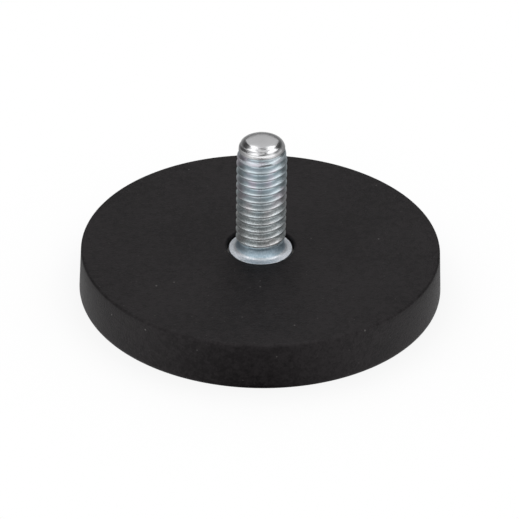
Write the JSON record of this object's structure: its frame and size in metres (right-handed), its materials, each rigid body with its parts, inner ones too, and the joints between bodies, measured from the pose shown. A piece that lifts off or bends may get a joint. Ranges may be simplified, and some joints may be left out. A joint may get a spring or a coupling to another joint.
{
  "type": "pot magnet",
  "caption": "Flat round pot magnet in a black rubber jacket, with an upright threaded steel stud that bolts a fixture to its back; the flat face holds to steel.",
  "frame": {"origin": "centre of the flat contact face, under the stud's axis", "axes": "+Z out of the back along the stud, away from the steel that the magnet holds to; +X and +Y lie in the contact face, and the first magnet is on +X"},
  "size_m": [0.043, 0.043, 0.0204],
  "materials": {
    "jacket_rubber": "matte",
    "plate_steel": "satin",
    "zinc_plated_steel": "satin",
    "nickel_plated_magnet": "polished"
  },
  "bodies": {
    "root": {"rubber_jacket": "jacket_rubber", "steel_plate": "plate_steel", "threaded_stud": "zinc_plated_steel", "magnet_1": "nickel_plated_magnet", "magnet_2": "nickel_plated_magnet", "magnet_3": "nickel_plated_magnet", "magnet_4": "nickel_plated_magnet", "magnet_5": "nickel_plated_magnet", "magnet_6": "nickel_plated_magnet"}
  },
  "joints": []
}
